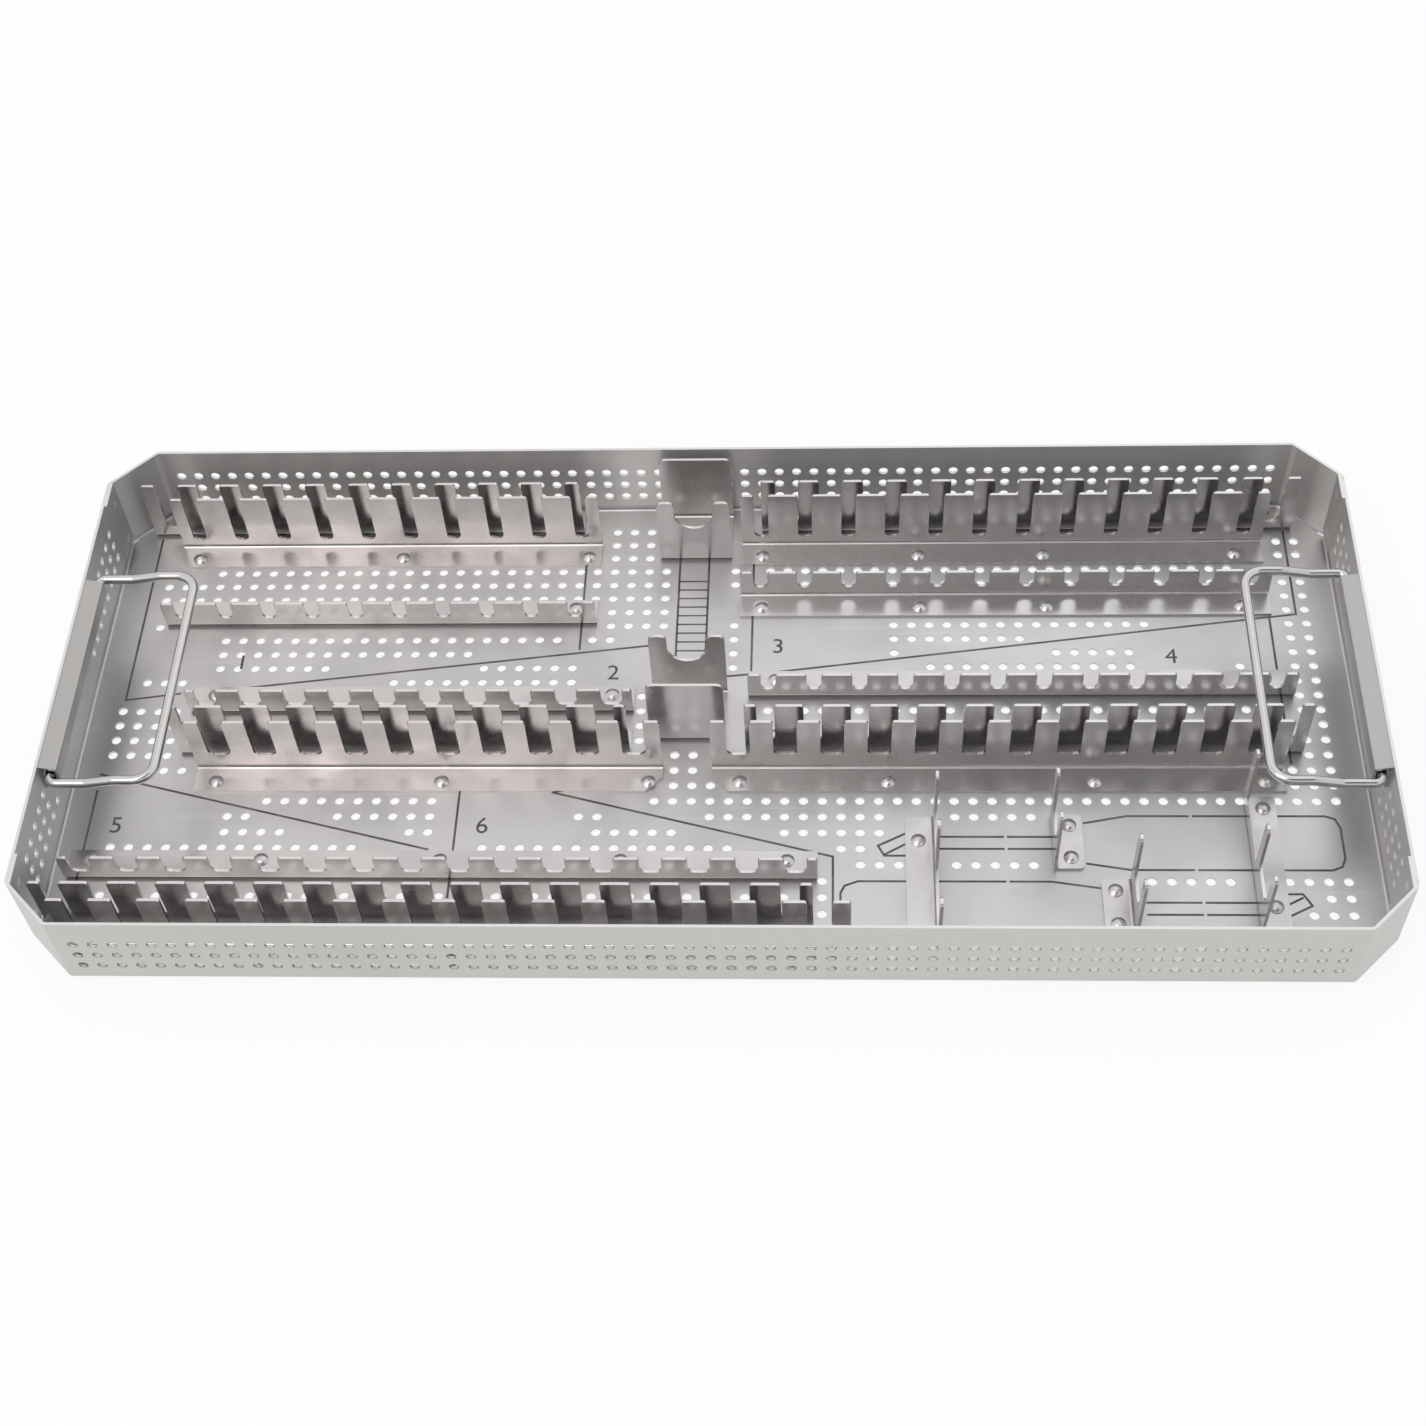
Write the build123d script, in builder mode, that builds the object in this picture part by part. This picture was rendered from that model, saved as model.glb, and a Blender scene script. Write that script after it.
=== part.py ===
from build123d import *
import os

os.makedirs("parts", exist_ok=True)

# Perforated instrument tray with riveted combs, cradles, rests and two folding wire
# handles. Millimetres. X runs along the tray, +Y to its back wall, +Z up. The origin
# is on the underside, at the middle of the footprint.

# Sheet metal
sheet = 1.2
bend_in = 1.2
bend_out = bend_in + sheet

# Tray shell
tray_length = 533.0
tray_width = 242.4
tray_height = 40.2
corner_cut = 18.8
tab_length = 14.0
tab_lift = 5.0
slit_height = 0.8
slit_length = 19.0
seam_width = 0.5
seam_depth = 0.5
floor_top = sheet
inner_x = tray_length / 2 - sheet
inner_y = tray_width / 2 - sheet

# Perforation: one square grid, with its middle hole at the middle of the tray
hole_pitch = 7.62
hole_r = 2.0
wall_columns = 2 * int((tray_length / 2 - corner_cut) / hole_pitch)
wall_rows = 3
last_hole_x = inner_x - bend_in - hole_r
last_hole_y = inner_y - bend_in - hole_r
long_wall_low_row = 10.3
end_wall_low_row = 12.6

# Floor holes by grid row, counted from the middle row. Each pair is the first and the
# last column of a run. The bare stretches between runs carry the marked outlines.
floor_runs = {
    14: [(-6, -4)],
    13: [(-6, -4), (32, 33)],
    12: [(-6, -4), (32, 33)],
    11: [(-29, -3), (1, 1), (3, 29)],
    10: [(-32, -3), (1, 1), (3, 29), (32, 33)],
    9: [(-32, -3), (32, 33)],
    8: [(-6, -3), (32, 33)],
    7: [(-32, -32), (-6, -3), (1, 1), (10, 24), (32, 33)],
    6: [(-28, -9), (-7, -6), (1, 1), (10, 17), (32, 33)],
    5: [(-28, -14), (1, 1), (10, 10), (19, 23), (32, 33)],
    4: [(-28, -22), (-13, -8), (1, 1), (12, 23), (29, 29), (32, 33)],
    3: [(-32, -30), (-18, -8), (32, 33)],
    2: [(-4, -4), (32, 33)],
    1: [(-33, -30), (-4, -4), (3, 29), (32, 33)],
    0: [(-33, -30), (-4, -4), (32, 33)],
    -1: [(-33, -30), (-4, -4), (32, 33)],
    -2: [(-33, -30), (-2, -1), (32, 33)],
    -3: [(-30, -29), (-2, -1), (31, 33)],
    -4: [(-2, 0), (31, 33)],
    -5: [(-24, -15), (-3, 28), (30, 33)],
    -6: [(-26, -25), (-20, -15), (-7, -6), (0, 9), (13, 17)],
    -7: [(-26, -23), (-16, -15), (-6, -2), (4, 9)],
    -8: [(-32, -19), (-12, 1), (7, 8)],
    -9: [(8, 10), (13, 17)],
    -10: [(6, 6), (23, 27), (30, 33)],
    -11: [(-32, 4), (6, 6), (32, 33)],
    -12: [(6, 6), (31, 33)],
}

# End wall holes by row, lowest first, with columns counted from the middle
end_wall_runs = [
    [(4, 11), (-11, -6)],
    [(8, 11), (-11, -7)],
    [(8, 11), (-11, -7)],
]

# Angle sections of the combs, measured from the heel where wall and flange meet
comb_pitch = 19.05
flange_depth = 13.2
rivet_line = 8.6
tooth_corner = 1.3
cradle_chamfer = 7.0
corner_chamfer = 9.0
low_height = 15.2
tall_height = 31.9
rear_height = tall_height + 1.3
rear_spacing = 7.0
rear_shift = 1.7

# Slots: width, height of the floor above the tray floor, bottom corner radius
narrow_slot = (6.2, 5.6, 3.0)
wide_slot = (9.6, 9.7, 3.0)
low_narrow_slot = (6.2, 5.8, 3.0)
low_wide_slot = (8.8, 5.8, 3.0)
rear_narrow_slot = (10.0, 5.6, 4.0)
rear_wide_slot = (7.3, 9.7, 3.0)

# How far a comb runs past the middle of its outermost slots
narrow_end = 8.6
wide_end = 11.3
front_end = 11.9
rear_narrow_end = 22.6
rear_wide_end = 19.9
rear_setback = 0.0
rear_wide_setback = 2.6

# Front face of each comb wall, from the back wall, the middle or the front wall
back_comb_y = inner_y - 21.4
right_low_comb_y = inner_y - 50.6
left_low_comb_y = inner_y - 66.6
centre_right_low_comb_y = 14.1
centre_left_low_comb_y = 6.4
centre_comb_y = -22.1
front_low_comb_y = -inner_y + 43.6
front_comb_y = -inner_y + 13.8

# First slots: the left combs start from the left wall, the right ones beside the middle.
# Each comb has as many slots as fit before its limit.
back_left_first = -inner_x + 33.4
centre_left_first = -inner_x + 62.9
centre_left_low_first = -inner_x + 51.9
front_first = -inner_x + 24.55
front_low_first = -inner_x + 14.9
back_right_first = 18.9
centre_right_first = 11.7
centre_right_low_first = 23.2
back_left_limit = -45.0
centre_left_limit = -30.0
right_limit = inner_x - 29.3
front_limit = inner_x - 215.3

# Rivets: domed head on the flange, flush countersunk tail in the floor
rivet_r = 1.6
head_r = 3.0
head_height = 1.5
head_rim = 0.3
tail_r = 2.4
tail_lift = 0.1
rivet_gap = 0.03

# Cradles for a long shaft that lies along Y
cradle_x = -9.9
cradle_width = 31.5
cradle_depth = 26.3
cradle_height = tray_height - 2.8
cradle_corner = 3.0
notch_width = 16.4
notch_floor = 21.3
back_cradle_y = inner_y - 30.1
centre_cradle_y = -7.85
cradle_rivet_span = 16.0

# Pronged rests for tools that lie along X
rest_flange = 12.4
rest_rivet_line = 7.2
rest_height = tray_height - 4.4
prong = 5.0
prong_corner = 2.0
gap_corner = 4.0
body_gap = (30.0, 8.0)
shaft_gap = (18.0, 13.0)
short_gap = (15.6, 13.0)
body_end_rivet = 5.8
shaft_end_rivet = 11.2
short_end_rivet = 5.2

# Folding wire handles and the channels that carry them
wire_r = 2.0
handle_reach = 42.3
handle_half_span = 52.6
channel_end_gap = 2.1
handle_bend = 8.0
lift_bend = 6.0
pivot_bend = 3.4
butt_gap = 1.0
lift_start = 15.0
lift_end = 27.0
channel_half_length = handle_half_span - wire_r - channel_end_gap
running_gap = 0.3
rear_gap = 0.5
channel_slope = 1.5
channel_foot = 5.0
channel_lip = 2.6
channel_corner = 1.0
pivot_z = tray_height - 5.6
pivot_x = inner_x - sheet - rear_gap - wire_r


def slot_run(first, limit):
    count = int((limit - first) / comb_pitch) + 1
    return [first + comb_pitch * k for k in range(count)]


# Slot centres of the front combs
back_left_xs = slot_run(back_left_first, back_left_limit)
back_right_xs = slot_run(back_right_first, right_limit)
centre_left_xs = slot_run(centre_left_first, centre_left_limit)
centre_right_xs = slot_run(centre_right_first, right_limit)
front_xs = slot_run(front_first, front_limit)
centre_left_low_xs = slot_run(centre_left_low_first, centre_left_limit)
centre_right_low_xs = slot_run(centre_right_low_first, right_limit)
front_low_xs = slot_run(front_low_first, front_limit)

# Rivets along a comb, as shares of its length
three_rivets = (0.045, 0.53, 0.97)
four_rivets = (0.04, 0.34, 0.58, 0.945)
wide_four_rivets = (0.05, 0.31, 0.67, 0.965)
five_rivets = (0.03, 0.26, 0.5, 0.74, 0.96)
rear_rivets = (0.05, 0.5, 0.95)
rear_four_rivets = (0.03, 0.34, 0.66, 0.97)


# A comb is its heel, the side of its flange, its ends, its wall height, its slots and
# its rivets
def plain_comb(heel_y, side, height, slots, slot_xs, end, rivets):
    ends = (slot_xs[0] - end, slot_xs[-1] + end)
    return heel_y, side, ends, height, slots, slot_xs, rivets


# The rear wall of a pair stands half a pitch and a little more outward of the front one
def rear_comb(front_y, outward, slots, front_slot_xs, end, setback, rivets):
    slot_xs = [x + outward * (comb_pitch / 2 + rear_shift) for x in front_slot_xs]
    ends = (front_slot_xs[0] - end, front_slot_xs[-1] - setback)
    if outward > 0:
        ends = (front_slot_xs[0] + setback, front_slot_xs[-1] + end)
    return front_y + rear_spacing, 1, ends, rear_height, slots, slot_xs, rivets


combs = {
    "back_left_comb": plain_comb(
        back_comb_y + sheet, -1, tall_height, narrow_slot, back_left_xs, narrow_end, three_rivets),
    "back_left_rear_comb": rear_comb(
        back_comb_y, -1, rear_narrow_slot, back_left_xs, rear_narrow_end, rear_setback, rear_rivets),
    "back_right_comb": plain_comb(
        back_comb_y + sheet, -1, tall_height, narrow_slot, back_right_xs, narrow_end, four_rivets),
    "back_right_rear_comb": rear_comb(
        back_comb_y, 1, rear_narrow_slot, back_right_xs, rear_narrow_end, rear_setback, rear_rivets),
    "centre_left_comb": plain_comb(
        centre_comb_y + sheet, -1, tall_height, wide_slot, centre_left_xs, wide_end, three_rivets),
    "centre_left_rear_comb": rear_comb(
        centre_comb_y, -1, rear_wide_slot, centre_left_xs, rear_wide_end, rear_wide_setback,
        rear_rivets),
    "centre_right_comb": plain_comb(
        centre_comb_y + sheet, -1, tall_height, wide_slot, centre_right_xs, wide_end,
        wide_four_rivets),
    "centre_right_rear_comb": rear_comb(
        centre_comb_y, 1, rear_wide_slot, centre_right_xs, rear_wide_end, rear_wide_setback,
        rear_rivets),
    "front_left_comb": plain_comb(
        front_comb_y + sheet, -1, tall_height, wide_slot, front_xs, front_end, five_rivets),
    "front_left_rear_comb": rear_comb(
        front_comb_y, -1, rear_wide_slot, front_xs, rear_wide_end, rear_wide_setback,
        rear_four_rivets),
    "left_low_comb": plain_comb(
        left_low_comb_y, 1, low_height, low_narrow_slot, back_left_xs, narrow_end, rear_rivets),
    "right_low_comb": plain_comb(
        right_low_comb_y + sheet, -1, low_height, low_narrow_slot, back_right_xs, narrow_end,
        four_rivets),
    "centre_left_low_comb": plain_comb(
        centre_left_low_comb_y, 1, low_height, low_wide_slot, centre_left_low_xs, narrow_end,
        rear_rivets),
    "centre_right_low_comb": plain_comb(
        centre_right_low_comb_y, 1, low_height, low_narrow_slot, centre_right_low_xs, narrow_end,
        rear_rivets),
    "front_left_low_comb": plain_comb(
        front_low_comb_y, 1, low_height, low_wide_slot, front_low_xs, narrow_end, five_rivets),
}


# Places of a comb's rivets along X
def rivet_places(ends, rivets):
    left, right = ends
    return [left + share * (right - left) for share in rivets]


# Flange corners cut back beside the tray's corner panels and the centre cradle
cut_corners = {
    "back_left_rear_comb": ("left", corner_chamfer),
    "back_right_rear_comb": ("right", corner_chamfer),
    "centre_left_comb": ("right", cradle_chamfer),
    "centre_right_comb": ("left", cradle_chamfer),
    "front_left_comb": ("left", corner_chamfer),
}


def comb_rivets(names):
    spots = []
    for name in names:
        heel_y, side, ends, _, _, _, rivets = combs[name]
        spots += [(x, heel_y + side * rivet_line) for x in rivet_places(ends, rivets)]
    return spots


# Cradle rivets stand on the middle line of the channel floor
def cradle_rivets(front_y):
    return [(cradle_x + half * cradle_rivet_span / 2, front_y + cradle_depth / 2) for half in (-1, 1)]


# A rest is its heel, the side of its flange, its back end, its gaps from back to front,
# and how far its two rivets stand from its back and front ends. The rests are placed
# from the right end wall and from the toe of the centre comb.
rests_y = centre_comb_y + sheet - flange_depth
rests = {
    "left_long_rest": (
        inner_x - 174.0, -1, rests_y - 12.8, [shaft_gap, body_gap],
        (shaft_end_rivet, body_end_rivet)),
    "left_short_rest": (
        inner_x - 128.3, 1, rests_y - 11.4, [short_gap], (short_end_rivet, short_end_rivet)),
    "right_short_rest": (
        inner_x - 97.6, -1, rests_y - 42.0, [short_gap], (short_end_rivet, short_end_rivet)),
    "right_long_rest": (
        inner_x - 50.7, 1, rests_y - 2.7, [body_gap, shaft_gap],
        (body_end_rivet, shaft_end_rivet)),
}


def rest_length(gaps):
    return prong + sum(width + prong for width, _ in gaps)


def rest_rivets(heel_x, side, back_y, gaps, rivet_ends):
    x = heel_x + side * rest_rivet_line
    return [(x, back_y - rivet_ends[0]), (x, back_y - rest_length(gaps) + rivet_ends[1])]


rivet_groups = {
    "back_comb_rivets": comb_rivets([
        "back_left_comb", "back_left_rear_comb", "back_right_comb", "back_right_rear_comb"]),
    "centre_comb_rivets": comb_rivets([
        "centre_left_comb", "centre_left_rear_comb", "centre_right_comb", "centre_right_rear_comb"]),
    "front_comb_rivets": comb_rivets(["front_left_comb", "front_left_rear_comb"]),
    "low_comb_rivets": comb_rivets([
        "left_low_comb", "right_low_comb", "centre_left_low_comb", "centre_right_low_comb",
        "front_left_low_comb"]),
    "cradle_rivets": cradle_rivets(back_cradle_y) + cradle_rivets(centre_cradle_y),
    "rest_rivets": [spot for rest in rests.values() for spot in rest_rivets(*rest)],
}


def save(piece, name):
    piece.part.label = name
    export_step(piece.part, f"parts/{name}.step")


# Tray: floor, four walls and four corner panels folded from one sheet
with BuildPart() as tray_body:
    with BuildSketch() as footprint:
        Rectangle(tray_length, tray_width)
        chamfer(footprint.vertices(), corner_cut)
        fillet(footprint.vertices(), bend_out)
    extrude(amount=tray_height)
    fillet(tray_body.edges().group_by(Axis.Z)[0], bend_out)
    offset(amount=-sheet, openings=tray_body.faces().sort_by(Axis.Z)[-1])
    # each corner panel ends in a tab that is spot welded inside the end wall
    tab_y = tray_width / 2 - corner_cut + 0.75 * sheet - tab_length / 2
    with GridLocations(2 * inner_x - sheet, 2 * tab_y, 2, 2):
        with Locations((0, 0, tab_lift)):
            Box(sheet, tab_length, tray_height - tab_lift, align=(Align.CENTER, Align.CENTER, Align.MIN))
    # the panels hang free of the floor, so light shows through a slit at each foot
    slit_x = (tray_length - corner_cut) / 2
    slit_y = (tray_width - corner_cut) / 2
    for along_x, along_y in ((1, 1), (-1, 1), (-1, -1), (1, -1)):
        middle = (along_x * slit_x, along_y * slit_y, floor_top)
        with Locations(Plane(origin=middle, x_dir=(along_x, -along_y, 0), z_dir=(0, 0, 1))):
            Box(slit_length, 4 * bend_out, slit_height,
                align=(Align.CENTER, Align.CENTER, Align.MIN), mode=Mode.SUBTRACT)
    # the end wall's open seam stands just round the corner from each panel
    with GridLocations(tray_length, tray_width - 2 * (corner_cut + bend_out), 2, 2):
        with Locations((0, 0, bend_out)):
            Box(2 * seam_depth, seam_width, tray_height,
                align=(Align.CENTER, Align.CENTER, Align.MIN), mode=Mode.SUBTRACT)
    # floor holes
    with BuildSketch(Plane.XY.offset(-sheet)):
        for row, runs in floor_runs.items():
            for first, last in runs:
                places = [(column * hole_pitch, row * hole_pitch) for column in range(first, last + 1)]
                places = [(x, y) for x, y in places if abs(x) < last_hole_x and abs(y) < last_hole_y]
                if places:
                    with Locations(*places):
                        Circle(hole_r)
    extrude(amount=3 * sheet, mode=Mode.SUBTRACT)
    # long wall holes, cut through both walls at once
    with BuildSketch(Plane.XZ.offset(-tray_width / 2 - sheet)):
        with Locations((0, long_wall_low_row + hole_pitch * (wall_rows - 1) / 2)):
            with GridLocations(hole_pitch, hole_pitch, wall_columns, wall_rows):
                Circle(hole_r)
    extrude(amount=tray_width + 2 * sheet, mode=Mode.SUBTRACT)
    # end wall holes, cut through both walls at once
    with BuildSketch(Plane.YZ.offset(-tray_length / 2 - sheet)):
        for row, runs in enumerate(end_wall_runs):
            height = end_wall_low_row + row * hole_pitch
            for first, last in runs:
                with Locations(*[(column * hole_pitch, height) for column in range(first, last + 1)]):
                    Circle(hole_r)
    extrude(amount=tray_length + 2 * sheet, mode=Mode.SUBTRACT)
    # rivet holes, countersunk from the underside, so their y is turned over
    with Locations(Plane.XY.rotated((180, 0, 0))):
        for spots in rivet_groups.values():
            with Locations(*[(x, -y) for x, y in spots]):
                CounterSinkHole(
                    rivet_r + rivet_gap, tail_r + rivet_gap, depth=2 * sheet, counter_sink_angle=90)

save(tray_body, "tray_body")


# Toothed wall with its flange on the tray floor at side 1 or -1
def toothed_angle(heel_y, side, ends, height, slots, slot_xs, rivets, cut_corner=None):
    left, right = ends
    slot_width, slot_floor, slot_corner = slots
    toe_y = heel_y + side * flange_depth
    with BuildPart() as comb:
        with BuildSketch(Plane.YZ.offset(left)) as section:
            with Locations((heel_y + side * sheet / 2, floor_top)):
                Rectangle(sheet, height, align=(Align.CENTER, Align.MIN))
            with Locations(((heel_y + toe_y) / 2, floor_top)):
                Rectangle(flange_depth, sheet, align=(Align.CENTER, Align.MIN))
            corners = section.vertices()
            fillet(corners.sort_by_distance((heel_y, floor_top, 0))[0], bend_out)
            corners = section.vertices()
            fillet(corners.sort_by_distance((heel_y + side * sheet, floor_top + sheet, 0))[0], bend_in)
        extrude(amount=right - left)
        with BuildSketch(Plane.XZ.offset(-heel_y - 2 * sheet)) as openings:
            with Locations(*[(x, floor_top + slot_floor) for x in slot_xs]):
                Rectangle(slot_width, height, align=(Align.CENTER, Align.MIN))
            fillet(openings.vertices().group_by(Axis.Y)[0], slot_corner)
        extrude(amount=4 * sheet, mode=Mode.SUBTRACT)
        fillet(comb.edges().filter_by(Axis.Y).group_by(Axis.Z)[-1], tooth_corner)
        if cut_corner is not None:
            end, cut = cut_corner
            toe = (left if end == "left" else right, toe_y, floor_top)
            chamfer(comb.edges().filter_by(Axis.Z).sort_by_distance(toe)[0], cut)
        rivet_y = heel_y + side * rivet_line
        with Locations(*[(x, rivet_y, floor_top + sheet) for x in rivet_places(ends, rivets)]):
            Hole(rivet_r + rivet_gap, depth=2 * sheet)
    return comb


for name, comb in combs.items():
    save(toothed_angle(*comb, cut_corners.get(name)), name)


# Cross channel whose front or rear wall is notched for the shaft
def shaft_cradle(front_y, notch_y):
    with BuildPart() as cradle:
        with BuildSketch(Plane.YZ.offset(cradle_x - cradle_width / 2)) as outside:
            with Locations((front_y, floor_top)):
                Rectangle(cradle_depth, cradle_height, align=(Align.MIN, Align.MIN))
            fillet(outside.vertices().group_by(Axis.Y)[0], bend_out)
        extrude(amount=cradle_width)
        with BuildSketch(Plane.YZ.offset(cradle_x - cradle_width)) as inside:
            with Locations((front_y + sheet, floor_top + sheet)):
                Rectangle(cradle_depth - 2 * sheet, cradle_height, align=(Align.MIN, Align.MIN))
            fillet(inside.vertices().group_by(Axis.Y)[0], bend_in)
        extrude(amount=2 * cradle_width, mode=Mode.SUBTRACT)
        with BuildSketch(Plane.XZ.offset(-notch_y - sheet)):
            with Locations((cradle_x, floor_top + notch_floor + notch_width / 2)):
                Circle(notch_width / 2)
                Rectangle(notch_width, cradle_height, align=(Align.CENTER, Align.MIN))
        extrude(amount=2 * sheet, mode=Mode.SUBTRACT)
        fillet(cradle.edges().filter_by(Axis.Y).group_by(Axis.Z)[-1], cradle_corner)
        with Locations(*[(x, y, floor_top + sheet) for x, y in cradle_rivets(front_y)]):
            Hole(rivet_r + rivet_gap, depth=2 * sheet)
    return cradle


save(shaft_cradle(back_cradle_y, back_cradle_y + sheet / 2), "back_cradle")
save(shaft_cradle(centre_cradle_y, centre_cradle_y + cradle_depth - sheet / 2), "centre_cradle")


# Fin with prongs above gaps, and its flange on the tray floor at side 1 or -1
def pronged_rest(heel_x, side, back_y, gaps, rivet_ends):
    toe_x = heel_x + side * rest_flange
    with BuildPart() as rest:
        with BuildSketch(Plane.XZ.offset(-back_y)) as section:
            with Locations((heel_x + side * sheet / 2, floor_top)):
                Rectangle(sheet, rest_height, align=(Align.CENTER, Align.MIN))
            with Locations(((heel_x + toe_x) / 2, floor_top)):
                Rectangle(rest_flange, sheet, align=(Align.CENTER, Align.MIN))
            corners = section.vertices()
            fillet(corners.sort_by_distance((heel_x, floor_top, 0))[0], bend_out)
            corners = section.vertices()
            fillet(corners.sort_by_distance((heel_x + side * sheet, floor_top + sheet, 0))[0], bend_in)
        extrude(amount=rest_length(gaps))
        with BuildSketch(Plane.YZ.offset(heel_x - 2 * sheet)) as openings:
            gap_back = back_y - prong
            for gap_width, gap_floor in gaps:
                with Locations((gap_back, floor_top + gap_floor)):
                    Rectangle(gap_width, rest_height, align=(Align.MAX, Align.MIN))
                gap_back -= gap_width + prong
            fillet(openings.vertices().group_by(Axis.X)[0], gap_corner)
        extrude(amount=4 * sheet, mode=Mode.SUBTRACT)
        fillet(rest.edges().filter_by(Axis.X).group_by(Axis.Z)[-1], prong_corner)
        fillet(rest.edges().filter_by(Axis.Z).group_by(Axis.X)[-1 if side > 0 else 0], prong_corner)
        spots = rest_rivets(heel_x, side, back_y, gaps, rivet_ends)
        with Locations(*[(x, y, floor_top + sheet) for x, y in spots]):
            Hole(rivet_r + rivet_gap, depth=2 * sheet)
    return rest


for name, rest in rests.items():
    save(pronged_rest(*rest), name)


# Right handle channel: folded over the wire, with its foot flat on the end wall
top_z = pivot_z + wire_r + running_gap + sheet
return_z = pivot_z - wire_r - running_gap - sheet
lip_x = pivot_x - wire_r - running_gap - sheet
with BuildPart() as right_handle_channel:
    with BuildSketch(Plane.XZ.offset(-channel_half_length)) as channel_section:
        with BuildLine():
            Polyline(
                (inner_x, return_z - channel_foot),
                (inner_x, top_z + channel_slope),
                (lip_x, top_z),
                (lip_x, return_z),
                (lip_x + sheet + channel_lip, return_z),
                (lip_x + sheet + channel_lip, return_z + sheet),
                (lip_x + sheet, return_z + sheet),
                (lip_x + sheet, top_z - sheet),
                (inner_x - sheet, top_z - sheet + channel_slope),
                (inner_x - sheet, return_z - channel_foot),
                close=True,
            )
        make_face()
        lip_corners = channel_section.vertices().group_by(Axis.X)[0]
        fillet(lip_corners, channel_corner)
    extrude(amount=2 * channel_half_length)

with BuildPart() as left_handle_channel:
    mirror(right_handle_channel.part, about=Plane.YZ)

save(right_handle_channel, "right_handle_channel")
save(left_handle_channel, "left_handle_channel")

# Right handle: one wire loop, whose ends turn into the channel and butt in its middle
bar_x = pivot_x - handle_reach
bar_z = floor_top + rear_height + running_gap + wire_r
half_route = [
    (pivot_x, butt_gap / 2, pivot_z),
    (pivot_x, handle_half_span, pivot_z),
    (pivot_x - lift_start, handle_half_span, pivot_z),
    (pivot_x - lift_end, handle_half_span, bar_z),
    (bar_x, handle_half_span, bar_z),
]
other_half = [(x, -y, z) for x, y, z in reversed(half_route)]
bends = [pivot_bend, lift_bend, lift_bend, handle_bend]
with BuildPart() as right_handle:
    with BuildLine() as route:
        FilletPolyline(*half_route, *other_half, radius=bends + bends[::-1])
    with BuildSketch(Plane(origin=route.line @ 0, z_dir=route.line % 0)):
        Circle(wire_r)
    sweep()

with BuildPart() as left_handle:
    mirror(right_handle.part, about=Plane.YZ)

save(right_handle, "right_handle")
save(left_handle, "left_handle")

# One rivet, from its flush tail in the floor to its domed head on the flange
seat_z = floor_top + sheet
with BuildPart() as rivet:
    with BuildSketch(Plane.XZ):
        with BuildLine():
            Polyline(
                (0, seat_z + head_height),
                (0, tail_lift),
                (tail_r - tail_lift, tail_lift),
                (rivet_r, tail_r - rivet_r),
                (rivet_r, seat_z),
                (head_r, seat_z),
                (head_r, seat_z + head_rim),
            )
            TangentArc((0, seat_z + head_height), (head_r, seat_z + head_rim), tangent=(1, 0))
        make_face()
    revolve(axis=Axis.Z)

for name, spots in rivet_groups.items():
    with BuildPart() as rivet_group:
        with Locations(*spots):
            add(rivet.part)
    save(rivet_group, name)
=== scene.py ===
import math
import bpy
from mathutils import Matrix, Vector


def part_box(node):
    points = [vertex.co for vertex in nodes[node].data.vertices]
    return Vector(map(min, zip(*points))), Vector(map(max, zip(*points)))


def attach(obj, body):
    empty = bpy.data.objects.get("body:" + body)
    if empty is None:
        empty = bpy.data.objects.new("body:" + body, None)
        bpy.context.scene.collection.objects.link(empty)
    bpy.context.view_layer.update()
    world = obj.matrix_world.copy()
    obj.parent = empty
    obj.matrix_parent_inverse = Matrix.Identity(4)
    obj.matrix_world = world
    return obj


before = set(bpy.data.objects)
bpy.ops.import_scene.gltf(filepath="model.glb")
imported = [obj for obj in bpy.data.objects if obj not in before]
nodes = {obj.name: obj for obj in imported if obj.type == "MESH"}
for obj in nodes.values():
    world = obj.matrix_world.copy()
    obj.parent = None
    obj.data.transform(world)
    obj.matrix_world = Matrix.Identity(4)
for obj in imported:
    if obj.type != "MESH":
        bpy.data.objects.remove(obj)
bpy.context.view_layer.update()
print("frame loaded:", len(nodes), "nodes")

mm = 0.001  # sizes and places are in millimetres, as in the part's source, unless a note says otherwise

trayLow, trayHigh = (Vector(corner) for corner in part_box("tray_body"))
trayHalf = (trayHigh - trayLow) / 2
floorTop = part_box("back_cradle")[0][2]  # the combs and cradles stand on the tray's floor


# camera

photoCamera = {
    "place": (50.4145, -542.5149, 746.4958),
    "right": (0.99851516, 0.03096325, -0.04481915),
    "down": (-0.00163612, -0.80533613, -0.59281619),
    "ahead": (-0.05445, 0.59200929, -0.80408967),
    "lens": 55.845,
    "sensor": 36.0,
    "clipMetres": (0.01, 20.0),
}


def addCamera(settings):
    data = bpy.data.cameras.new("photoCamera")
    data.sensor_width = settings["sensor"]
    data.sensor_fit = "HORIZONTAL"
    data.lens = settings["lens"]
    data.clip_start, data.clip_end = settings["clipMetres"]
    camera = bpy.data.objects.new("photoCamera", data)
    bpy.context.scene.collection.objects.link(camera)
    right = Vector(settings["right"])
    up = -Vector(settings["down"])
    back = -Vector(settings["ahead"])
    turn = Matrix((right, up, back)).transposed().to_4x4()
    camera.matrix_world = Matrix.Translation(Vector(settings["place"]) * mm) @ turn
    bpy.context.scene.camera = camera


addCamera(photoCamera)
print("camera set")


# shader helpers

def newMaterial(name):
    material = bpy.data.materials.new(name)
    material.use_nodes = True
    tree = material.node_tree
    return material, tree, tree.nodes["Principled BSDF"]


def addNode(tree, kind, **values):
    node = tree.nodes.new(kind)
    for key, value in values.items():
        setattr(node, key, value)
    return node


def mathNode(tree, operation, first, second=None, clamp=False):
    node = addNode(tree, "ShaderNodeMath", operation=operation, use_clamp=clamp)
    for socket, value in zip(node.inputs, (first, second)):
        if value is None:
            continue
        if isinstance(value, (int, float)):
            socket.default_value = value
        else:
            tree.links.new(value, socket)
    return node.outputs[0]


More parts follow.
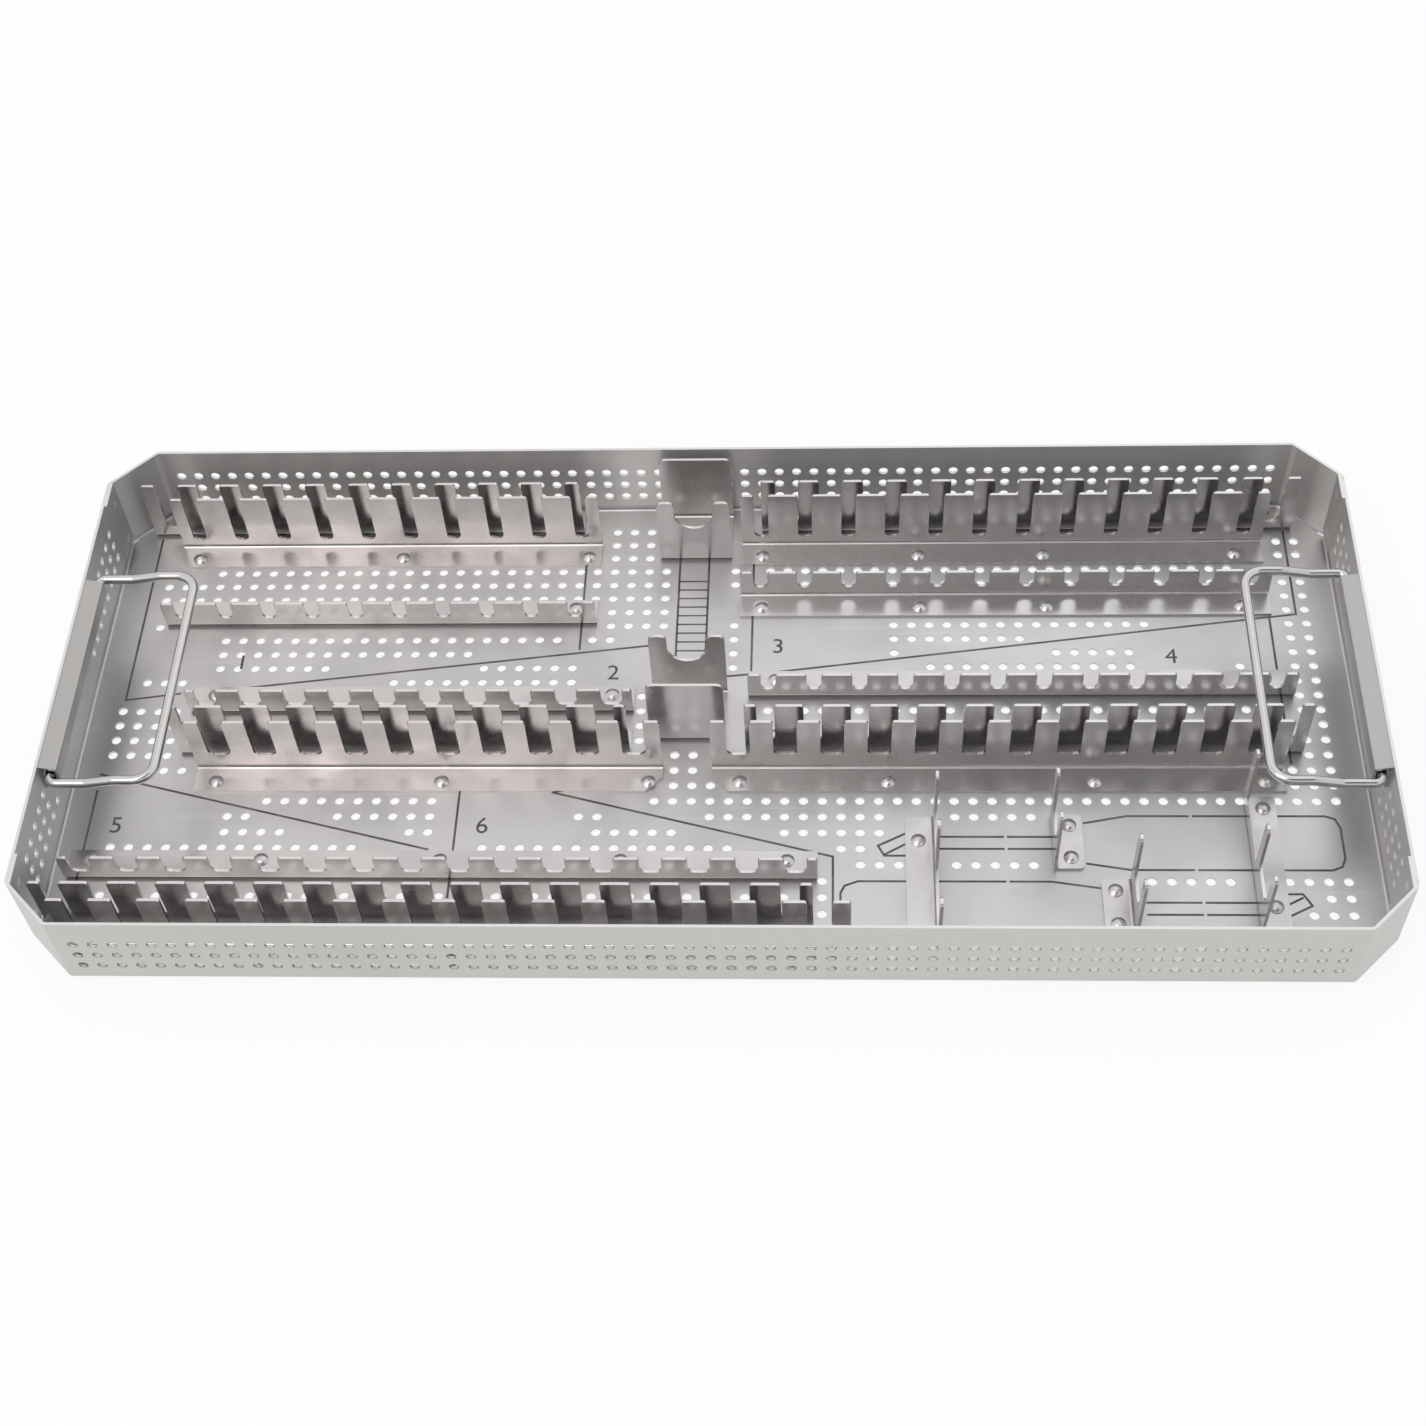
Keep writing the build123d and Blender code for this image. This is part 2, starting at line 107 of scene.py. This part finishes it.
def rangeNode(tree, value, fromLow, fromHigh, toLow=0.0, toHigh=1.0):
    node = addNode(tree, "ShaderNodeMapRange", interpolation_type="SMOOTHSTEP")
    tree.links.new(value, node.inputs["Value"])
    limits = {"From Min": fromLow, "From Max": fromHigh, "To Min": toLow, "To Max": toHigh}
    for label, number in limits.items():
        node.inputs[label].default_value = number
    return node.outputs["Result"]


# the colour sockets of a mix node are inputs 6 and 7 and output 2
def mixColour(tree, factor, first, second):
    node = addNode(tree, "ShaderNodeMix", data_type="RGBA")
    tree.links.new(factor, node.inputs[0])
    for socket, value in ((node.inputs[6], first), (node.inputs[7], second)):
        if isinstance(value, tuple):
            socket.default_value = (*value, 1.0)
        else:
            tree.links.new(value, socket)
    return node.outputs[2]


def newGroup(name, inputs, outputs):
    tree = bpy.data.node_groups.new(name, "ShaderNodeTree")
    for direction, labels in (("INPUT", inputs), ("OUTPUT", outputs)):
        for label in labels:
            tree.interface.new_socket(label, in_out=direction, socket_type="NodeSocketFloat")
    start = addNode(tree, "NodeGroupInput")
    end = addNode(tree, "NodeGroupOutput")
    return tree, start, end


def placeGroup(tree, group, **values):
    node = addNode(tree, "ShaderNodeGroup", node_tree=group)
    for label, value in values.items():
        node.inputs[label].default_value = value
    return node


# fine parallel grain of rolled and brushed sheet, stretched along one direction
sheetGrain = {"fineDetail": 3.0, "fineRoughness": 0.6, "streakScale": 0.16, "streakDetail": 2.0}


def buildBrushedGrain(settings):
    along = ("alongX", "alongY", "alongZ")
    tree, start, end = newGroup("brushedGrain", along, ("grain", "streaks"))
    place = addNode(tree, "ShaderNodeTexCoord")
    stretch = addNode(tree, "ShaderNodeCombineXYZ")
    for index, label in enumerate(along):
        tree.links.new(start.outputs[label], stretch.inputs[index])
    scaled = addNode(tree, "ShaderNodeVectorMath", operation="MULTIPLY")
    tree.links.new(place.outputs["Object"], scaled.inputs[0])
    tree.links.new(stretch.outputs[0], scaled.inputs[1])
    fine = addNode(tree, "ShaderNodeTexNoise")
    fine.inputs["Scale"].default_value = 1.0
    fine.inputs["Detail"].default_value = settings["fineDetail"]
    fine.inputs["Roughness"].default_value = settings["fineRoughness"]
    tree.links.new(scaled.outputs[0], fine.inputs["Vector"])
    wide = addNode(tree, "ShaderNodeTexNoise")
    wide.inputs["Scale"].default_value = settings["streakScale"]
    wide.inputs["Detail"].default_value = settings["streakDetail"]
    tree.links.new(scaled.outputs[0], wide.inputs["Vector"])
    tree.links.new(fine.outputs[0], end.inputs["grain"])
    tree.links.new(wide.outputs[0], end.inputs["streaks"])
    return tree


# cloudy wipe marks and fine handling scratches
handling = {
    "cloudDetail": 4.0, "cloudDistortion": 0.6, "cloudRange": (0.38, 0.66), "scratchRange": (0.7, 0.76),
    "scratchTurns": ((0.5, (1.0, 60.0, 60.0)), (-0.9, (1.4, 70.0, 70.0))), "scratchTilt": (0.3, 0.2),
    "scratchScale": 9.0, "scratchDetail": 1.0,
}


def buildHandlingMarks(settings):
    tree, start, end = newGroup("handlingMarks", ("cloudScale", "scratchScale"), ("clouds", "scratches"))
    place = addNode(tree, "ShaderNodeTexCoord")
    clouds = addNode(tree, "ShaderNodeTexNoise")
    clouds.inputs["Detail"].default_value = settings["cloudDetail"]
    clouds.inputs["Distortion"].default_value = settings["cloudDistortion"]
    tree.links.new(place.outputs["Object"], clouds.inputs["Vector"])
    tree.links.new(start.outputs["cloudScale"], clouds.inputs["Scale"])
    tree.links.new(rangeNode(tree, clouds.outputs[0], *settings["cloudRange"]), end.inputs["clouds"])
    tiltX, tiltY = settings["scratchTilt"]
    layers = []
    for turn, stretch in settings["scratchTurns"]:
        spin = addNode(tree, "ShaderNodeMapping")
        spin.inputs["Rotation"].default_value = (tiltX * turn, tiltY, turn)
        spin.inputs["Scale"].default_value = stretch
        tree.links.new(place.outputs["Object"], spin.inputs["Vector"])
        lines = addNode(tree, "ShaderNodeTexNoise")
        lines.inputs["Detail"].default_value = settings["scratchDetail"]
        tree.links.new(spin.outputs[0], lines.inputs["Vector"])
        tree.links.new(start.outputs["scratchScale"], lines.inputs["Scale"])
        layers.append(rangeNode(tree, lines.outputs[0], *settings["scratchRange"]))
    tree.links.new(mathNode(tree, "MAXIMUM", *layers), end.inputs["scratches"])
    return tree


# painted highlight on the cut edges: faces that look up although they stand above the flanges get a brighter
# colour
edgeHighlightZone = {"aboveHeight": 5.0, "upwardRange": (0.25, 0.7)}


def buildPaintedEdgeHighlight(settings):
    tree, start, end = newGroup("paintedEdgeHighlight", ("aboveHeight",), ("edge",))
    place = addNode(tree, "ShaderNodeTexCoord")
    height = addNode(tree, "ShaderNodeSeparateXYZ")
    tree.links.new(place.outputs["Object"], height.inputs[0])
    facing = addNode(tree, "ShaderNodeSeparateXYZ")
    tree.links.new(place.outputs["Normal"], facing.inputs[0])
    upward = rangeNode(tree, facing.outputs["Z"], *settings["upwardRange"])
    above = mathNode(tree, "GREATER_THAN", height.outputs["Z"], start.outputs["aboveHeight"])
    tree.links.new(mathNode(tree, "MULTIPLY", upward, above), end.inputs["edge"])
    return tree


brushedGrain = buildBrushedGrain(sheetGrain)
handlingMarks = buildHandlingMarks(handling)
paintedEdgeHighlight = buildPaintedEdgeHighlight(edgeHighlightZone)


# each steel finish is one dictionary; dull is the colour of its wiped places, edge the colour of its
# scratches and of the painted highlight on its upward cut edges, and grain and clouds are texture scales: the
# larger, the finer
finishes = {
    "combSteel": {
        "colour": (0.60, 0.585, 0.58), "dull": (0.53, 0.517, 0.512), "edge": (0.68, 0.67, 0.665),
        "roughness": 0.2, "roughnessSpread": 0.1, "grain": (30.0, 1800.0, 1800.0), "bump": 0.05,
        "clouds": 34.0, "scratches": 0.04,
    },
    "channelSteel": {
        "colour": (0.44, 0.435, 0.425), "dull": (0.38, 0.375, 0.365), "edge": (0.44, 0.435, 0.425),
        "roughness": 0.34, "roughnessSpread": 0.1, "grain": (1800.0, 40.0, 1800.0), "bump": 0.05,
        "clouds": 22.0, "scratches": 0.2,
    },
    "wireSteel": {
        "colour": (0.60, 0.595, 0.585), "dull": (0.54, 0.535, 0.525), "edge": (0.6, 0.595, 0.585),
        "roughness": 0.12, "roughnessSpread": 0.08, "grain": (700.0, 90.0, 700.0), "bump": 0.03,
        "clouds": 60.0, "scratches": 0.1,
    },
    "rivetSteel": {
        "colour": (0.63, 0.625, 0.62), "dull": (0.54, 0.535, 0.53), "edge": (0.63, 0.625, 0.62),
        "roughness": 0.22, "roughnessSpread": 0.12, "grain": (500.0, 500.0, 500.0), "bump": 0.02,
        "clouds": 300.0, "scratches": 0.1,
    },
    "traySteel": {
        "colour": (0.60, 0.595, 0.595), "dull": (0.53, 0.525, 0.525), "edge": (0.72, 0.72, 0.715),
        "roughness": 0.34, "roughnessSpread": 0.1, "grain": (22.0, 1500.0, 1500.0), "bump": 0.04,
        "clouds": 16.0, "scratches": 0.25,
    },
}

# what wipe marks and streaks each add to an uneven surface, and how deep its grain is
unevenness = {"cloudShare": 0.7, "streakShare": 0.3, "grainDepth": 0.3}


def makeSteel(name, settings):
    material, tree, shader = newMaterial(name)
    grainX, grainY, grainZ = settings["grain"]
    grain = placeGroup(tree, brushedGrain, alongX=grainX, alongY=grainY, alongZ=grainZ)
    marks = placeGroup(
        tree, handlingMarks, cloudScale=settings["clouds"], scratchScale=handling["scratchScale"])
    edgeHighlight = placeGroup(tree, paintedEdgeHighlight, aboveHeight=edgeHighlightZone["aboveHeight"] * mm)
    cloudy = mathNode(tree, "MULTIPLY", marks.outputs["clouds"], unevenness["cloudShare"])
    streaky = mathNode(tree, "MULTIPLY", grain.outputs["streaks"], unevenness["streakShare"])
    uneven = mathNode(tree, "ADD", cloudy, streaky, clamp=True)
    colour = mixColour(tree, uneven, settings["colour"], settings["dull"])
    scratched = mathNode(tree, "MULTIPLY", marks.outputs["scratches"], settings["scratches"])
    colour = mixColour(tree, scratched, colour, settings["edge"])
    # painted highlight: upward cut edges above the flanges take the brighter edge colour
    colour = mixColour(tree, edgeHighlight.outputs["edge"], colour, settings["edge"])
    spread = mathNode(tree, "MULTIPLY", uneven, settings["roughnessSpread"])
    roughness = mathNode(tree, "ADD", spread, settings["roughness"])
    bump = addNode(tree, "ShaderNodeBump")
    bump.inputs["Strength"].default_value = settings["bump"]
    bump.inputs["Distance"].default_value = unevenness["grainDepth"] * mm
    tree.links.new(grain.outputs["grain"], bump.inputs["Height"])
    tree.links.new(colour, shader.inputs["Base Color"])
    tree.links.new(roughness, shader.inputs["Roughness"])
    tree.links.new(bump.outputs[0], shader.inputs["Normal"])
    shader.inputs["Metallic"].default_value = 1.0
    return material, tree, shader, colour, roughness


# the walls inside are duller than the floor, and the two long ones are painted paler than the steel's own
# colour: painted light
innerWalls = {
    "longPaintedLightColour": (0.75, 0.745, 0.735), "endColour": (0.62, 0.615, 0.605),
    "above": 4.0, "metallic": 0.86, "roughness": 0.45, "thickness": 3.0,
}

cornerWelds = {
    "across": 97.4, "heights": (9.6, 32.4), "radius": 2.1, "fullShare": 0.7, "fromEnd": 8.0,
    "colour": (0.86, 0.86, 0.85), "strength": 0.85,
}

# the outside of the tray is blasted: duller than the floor and faintly green
blastedSkin = {
    "colour": (0.595, 0.61, 0.585), "roughness": 0.48, "depth": 0.7, "cornerCut": 18.8, "underRim": 0.05,
}


# two round spot welds, one above the other, hold each corner tab to its end wall
def weldSpots(tree, awayY, height):
    across = mathNode(tree, "SUBTRACT", awayY, cornerWelds["across"] * mm)
    radius = cornerWelds["radius"] * mm
    full = radius * cornerWelds["fullShare"]
    spots = []
    for centre in cornerWelds["heights"]:
        up = mathNode(tree, "SUBTRACT", height, centre * mm)
        squares = [mathNode(tree, "MULTIPLY", side, side) for side in (across, up)]
        reach = mathNode(tree, "SQRT", mathNode(tree, "ADD", *squares))
        spots.append(rangeNode(tree, reach, full, radius, cornerWelds["strength"], 0.0))
    return mathNode(tree, "MAXIMUM", *spots)


def makeTraySteel():
    material, tree, shader, colour, roughness = makeSteel("traySteel", finishes["traySteel"])
    place = addNode(tree, "ShaderNodeTexCoord")
    axes = addNode(tree, "ShaderNodeSeparateXYZ")
    tree.links.new(place.outputs["Object"], axes.inputs[0])
    awayX = mathNode(tree, "ABSOLUTE", axes.outputs["X"])
    awayY = mathNode(tree, "ABSOLUTE", axes.outputs["Y"])
    depth = blastedSkin["depth"] * mm
    outsideX = mathNode(tree, "GREATER_THAN", awayX, trayHalf.x - depth)
    outsideY = mathNode(tree, "GREATER_THAN", awayY, trayHalf.y - depth)
    cornerReach = trayHalf.x + trayHalf.y - blastedSkin["cornerCut"] * mm - depth * math.sqrt(2)
    outsideCorner = mathNode(tree, "GREATER_THAN", mathNode(tree, "ADD", awayX, awayY), cornerReach)
    outside = mathNode(tree, "MAXIMUM", mathNode(tree, "MAXIMUM", outsideX, outsideY), outsideCorner)
    belowRim = mathNode(tree, "LESS_THAN", axes.outputs["Z"], trayHigh.z - blastedSkin["underRim"] * mm)
    outside = mathNode(tree, "MULTIPLY", outside, belowRim)
    aboveFloor = mathNode(tree, "GREATER_THAN", axes.outputs["Z"], innerWalls["above"] * mm)
    wall = mathNode(tree, "MULTIPLY", aboveFloor, belowRim)
    longWall = mathNode(tree, "GREATER_THAN", awayY, trayHalf.y - innerWalls["thickness"] * mm)
    # painted light: the long inner walls get a paler colour than the end walls of the same steel
    wallColourWithPaintedLight = mixColour(tree, longWall, innerWalls["endColour"], innerWalls["longPaintedLightColour"])
    colour = mixColour(tree, wall, colour, wallColourWithPaintedLight)
    nearEnd = mathNode(tree, "GREATER_THAN", awayX, trayHalf.x - cornerWelds["fromEnd"] * mm)
    welds = mathNode(tree, "MULTIPLY", weldSpots(tree, awayY, axes.outputs["Z"]), nearEnd)
    colour = mixColour(tree, welds, colour, cornerWelds["colour"])
    tree.links.new(mixColour(tree, outside, colour, blastedSkin["colour"]), shader.inputs["Base Color"])
    for mask, rough in ((wall, innerWalls["roughness"]), (outside, blastedSkin["roughness"])):
        gap = mathNode(tree, "SUBTRACT", rough, roughness)
        roughness = mathNode(tree, "ADD", roughness, mathNode(tree, "MULTIPLY", mask, gap))
    tree.links.new(roughness, shader.inputs["Roughness"])
    scatter = mathNode(tree, "MULTIPLY", wall, 1.0 - innerWalls["metallic"])
    tree.links.new(mathNode(tree, "SUBTRACT", 1.0, scatter), shader.inputs["Metallic"])
    return material


steels = {name: makeSteel(name, values)[0] for name, values in finishes.items() if name != "traySteel"}
steels["traySteel"] = makeTraySteel()


def steelOf(node):
    if node == "tray_body":
        return steels["traySteel"]
    if node.endswith("rivets"):
        return steels["rivetSteel"]
    if node.endswith("handle"):
        return steels["wireSteel"]
    if node.endswith("channel"):
        return steels["channelSteel"]
    return steels["combSteel"]


for name, node in nodes.items():
    for materialSlot in node.material_slots:
        materialSlot.material = steelOf(name)
print("steel finishes on", len(nodes), "nodes")


# marked outlines on the floor

inkFinish = {
    "dark": (0.085, 0.08, 0.078), "worn": (0.15, 0.14, 0.138), "clouds": 90.0,
    "metallic": 0.4, "roughness": 0.5,
}


def makeMarkInk(settings):
    material, tree, shader = newMaterial("markInk")
    marks = placeGroup(tree, handlingMarks, cloudScale=settings["clouds"])
    colour = mixColour(tree, marks.outputs["clouds"], settings["dark"], settings["worn"])
    tree.links.new(colour, shader.inputs["Base Color"])
    shader.inputs["Metallic"].default_value = settings["metallic"]
    shader.inputs["Roughness"].default_value = settings["roughness"]
    return material


markInk = makeMarkInk(inkFinish)

floorMarks = {
    "width": 0.95,
    "rungWidth": 0.76,  # the ruler's cross lines
    "lift": 0.03,
    "sharpestMitre": 0.4,
    "leftBay": [
        [(-251.5, 104), (-251.5, 13.5), (-228, 17)],
        [(-200, 20), (-22, 43)],
        [(-58.5, 88), (-58.5, 40)],
    ],
    "rightBay": [
        [(15.5, 88), (15.5, 28)],
        [(5, 25.5), (28, 28), (247, 58)],
        [(247.5, 105), (247.5, 57.5)],
        [(236, 56), (236, -20)],
    ],
    "frontBay": [
        [(-255, -25), (-251, -26)],
        [(-254.5, -33), (-254.5, -80)],
        [(-240, -29), (-113, -62)],
        [(-103, -33), (-103, -85)],
        [(-65, -34), (50, -65), (50, -96)],
    ],
    "backTool": [
        [(79, -54), (68, -59.8), (70.5, -64.5), (79, -64.5)],
        [(70.5, -64), (79, -59)],
        [(92, -55.5), (118.3, -55.5)],
        [(119.5, -55.5), (138, -55.5)],
        [(92, -61.2), (118.3, -61.2)],
        [(119.5, -61.2), (138, -61.2)],
        [(150, -49), (167.5, -45.5), (192.4, -45.5)],
        [(193.6, -45.5), (246, -45.5), (249.8, -46.9), (251.5, -51), (251.5, -65.5),
         (249.8, -69.4), (246, -71), (193.6, -71)],
        [(192.4, -71), (167.5, -71), (150, -68)],
    ],
    "frontTool": [
        [(53, -86), (53, -82), (54.6, -78.6), (60, -76.5), (118.3, -76.5)],
        [(119.5, -76.5), (136, -76.5), (155, -79.5)],
        [(172, -86), (193.8, -86)],
        [(195, -86), (216, -86)],
        [(172, -91.5), (193.8, -91.5)],
        [(195, -91.5), (216, -91.5)],
        [(226, -82), (233, -82), (236, -87.3), (226, -92.5)],
        [(226, -87.3), (233, -83.5)],
    ],
    "ruler": {"left": (-17, 91, 34), "right": (-4.2, 91, 38), "first": 77.8, "step": 4.81, "count": 10},
}


# one strip of ink along a line of points, with mitred corners
def stripAlong(points, width, height, vertices, faces):
    flat = [Vector(point) for point in points]
    for index, point in enumerate(flat):
        before = (point - flat[index - 1]).normalized() if index else (flat[1] - point).normalized()
        after = (flat[index + 1] - point).normalized() if index < len(flat) - 1 else before
        middle = (before + after).normalized()
        mitre = max(floorMarks["sharpestMitre"], middle.dot(after))
        side = Vector((-middle.y, middle.x)) * (width / 2 / mitre)
        for edge in (point + side, point - side):
            vertices.append((edge.x * mm, edge.y * mm, height))
        if index:
            last = len(vertices)
            faces.append((last - 4, last - 3, last - 1, last - 2))  # between the last two pairs of edges


def addFloorMarks(settings):
    height = floorTop + settings["lift"] * mm
    vertices, faces = [], []
    for bay in ("leftBay", "rightBay", "frontBay", "backTool", "frontTool"):
        for line in settings[bay]:
            stripAlong(line, settings["width"], height, vertices, faces)
    ruler = settings["ruler"]
    for side in ("left", "right"):
        x, top, bottom = ruler[side]
        stripAlong([(x, top), (x, bottom)], settings["width"], height, vertices, faces)
    for step in range(ruler["count"]):
        y = ruler["first"] - step * ruler["step"]
        ends = [(ruler["left"][0], y), (ruler["right"][0], y)]
        stripAlong(ends, settings["rungWidth"], height, vertices, faces)
    mesh = bpy.data.meshes.new("floorMarks")
    mesh.from_pydata(vertices, [], faces)
    mesh.materials.append(markInk)
    marks = bpy.data.objects.new("floorMarks", mesh)
    bpy.context.scene.collection.objects.link(marks)
    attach(marks, "tray")


addFloorMarks(floorMarks)
print("floor marks drawn")


# a plain number in each bay
bayNumbers = {
    "size": 11.0,
    "places": {
        "1": (-207, 30), "2": (-46, 24), "3": (24, 38), "4": (190, 32), "5": (-246, -54), "6": (-95, -54),
    },
}


def addBayNumbers(settings):
    for number, (x, y) in settings["places"].items():
        data = bpy.data.curves.new(f"bayNumber{number}", "FONT")
        data.body = number
        data.size = settings["size"] * mm
        data.materials.append(markInk)
        label = bpy.data.objects.new(f"bayNumber{number}", data)
        label.location = (x * mm, y * mm, floorTop + floorMarks["lift"] * mm)
        bpy.context.scene.collection.objects.link(label)
        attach(label, "tray")


addBayNumbers(bayNumbers)
print("bay numbers drawn")


# studio, in metres apart from floorDrop, which is in millimetres

white = (1.0, 1.0, 1.0)
black = (0.0, 0.0, 0.0)

studio = {
    "floorColour": (0.93, 0.93, 0.93),
    "floorGlow": 0.84,
    "floorSize": 12.0,
    "worldLight": 0.85,
    "floorRoughness": 0.9,
    "floorDrop": 0.1,
    "lamps": {
        "overheadLamp": {
            "place": (-0.1, -0.2, 1.7), "size": 0.5, "power": 0.9, "colour": white},
        "backRightLamp": {
            "place": (0.35, 0.86, 1.18), "size": 0.9, "power": 0.8, "colour": white},
        "backLeftLamp": {
            "place": (-0.52, 0.9, 1.15), "size": 0.7, "power": 0.3, "colour": (1.0, 0.72, 0.72)},
        "frontLeftLamp": {
            "place": (-0.48, -0.55, 1.31), "size": 0.75, "power": 3.6, "colour": (1.0, 0.88, 0.86)},
    },
    "cards": {
        "backScreen": {"place": (0.0, 1.84, 1.84), "width": 5.0, "height": 2.6, "shade": 0.88},
        "darkRoom": {"place": (0.0, -2.5, 0.7), "width": 5.0, "height": 1.4, "shade": 0.35},
        "cameraSide": {"place": (0.55, -0.84, 1.96), "width": 1.4, "height": 1.1, "shade": 0.16},
    },
}


def rayMask(tree):
    path = addNode(tree, "ShaderNodeLightPath")
    seen = mathNode(tree, "MAXIMUM", path.outputs["Is Camera Ray"], path.outputs["Is Glossy Ray"])
    return mathNode(tree, "MAXIMUM", seen, path.outputs["Is Transmission Ray"])


def flatSheet(name, width, depth, height=0.0):
    x, y = width / 2, depth / 2
    mesh = bpy.data.meshes.new(name)
    mesh.from_pydata([(-x, -y, height), (x, -y, height), (x, y, height), (-x, y, height)], [], [(0, 1, 2, 3)])
    return mesh


def aimAtTray(thing, place):
    thing.location = place
    thing.rotation_euler = (-Vector(place)).to_track_quat("-Z", "Y").to_euler()


def addFloor(settings):
    size = settings["floorSize"]
    mesh = flatSheet("studioFloor", size, size, -settings["floorDrop"] * mm)
    material, tree, shader = newMaterial("studioFloor")
    shader.inputs["Base Color"].default_value = (*settings["floorColour"], 1.0)
    shader.inputs["Roughness"].default_value = settings["floorRoughness"]
    shader.inputs["Specular IOR Level"].default_value = 0.0
    glow = addNode(tree, "ShaderNodeEmission")
    glow.inputs["Color"].default_value = (*white, 1.0)
    blend = addNode(tree, "ShaderNodeMixShader")
    tree.links.new(mathNode(tree, "MULTIPLY", rayMask(tree), settings["floorGlow"]), blend.inputs[0])
    tree.links.new(shader.outputs[0], blend.inputs[1])
    tree.links.new(glow.outputs[0], blend.inputs[2])
    tree.links.new(blend.outputs[0], tree.nodes["Material Output"].inputs["Surface"])
    mesh.materials.append(material)
    floor = bpy.data.objects.new("studioFloor", mesh)
    bpy.context.scene.collection.objects.link(floor)


def addWorld(settings):
    world = bpy.data.worlds.new("studioWorld")
    bpy.context.scene.world = world
    world.use_nodes = True
    tree = world.node_tree
    backdrop = tree.nodes["Background"]
    backdrop.inputs["Color"].default_value = (*white, 1.0)
    lift = mathNode(tree, "MULTIPLY", rayMask(tree), 1.0 - settings["worldLight"])
    tree.links.new(mathNode(tree, "ADD", lift, settings["worldLight"]), backdrop.inputs["Strength"])


def addLamps(settings):
    for name, lamp in settings["lamps"].items():
        data = bpy.data.lights.new(name, "AREA")
        data.size = lamp["size"]
        data.energy = lamp["power"]
        data.color = lamp["colour"]
        light = bpy.data.objects.new(name, data)
        aimAtTray(light, lamp["place"])
        bpy.context.scene.collection.objects.link(light)


# grey cards that only reflections see: they stand for the room around the table
def addCards(settings):
    for name, card in settings["cards"].items():
        mesh = flatSheet(name, card["width"], card["height"])
        material, tree, shader = newMaterial(name)
        shader.inputs["Base Color"].default_value = (*black, 1.0)
        shader.inputs["Specular IOR Level"].default_value = 0.0
        shader.inputs["Emission Color"].default_value = (*white, 1.0)
        shader.inputs["Emission Strength"].default_value = card["shade"]
        mesh.materials.append(material)
        screen = bpy.data.objects.new(name, mesh)
        screen.visible_camera = False
        screen.visible_diffuse = False
        screen.visible_shadow = False
        aimAtTray(screen, card["place"])
        bpy.context.scene.collection.objects.link(screen)


addFloor(studio)
addWorld(studio)
addLamps(studio)
addCards(studio)
bpy.context.scene.view_settings.view_transform = "Standard"
print("studio lit")
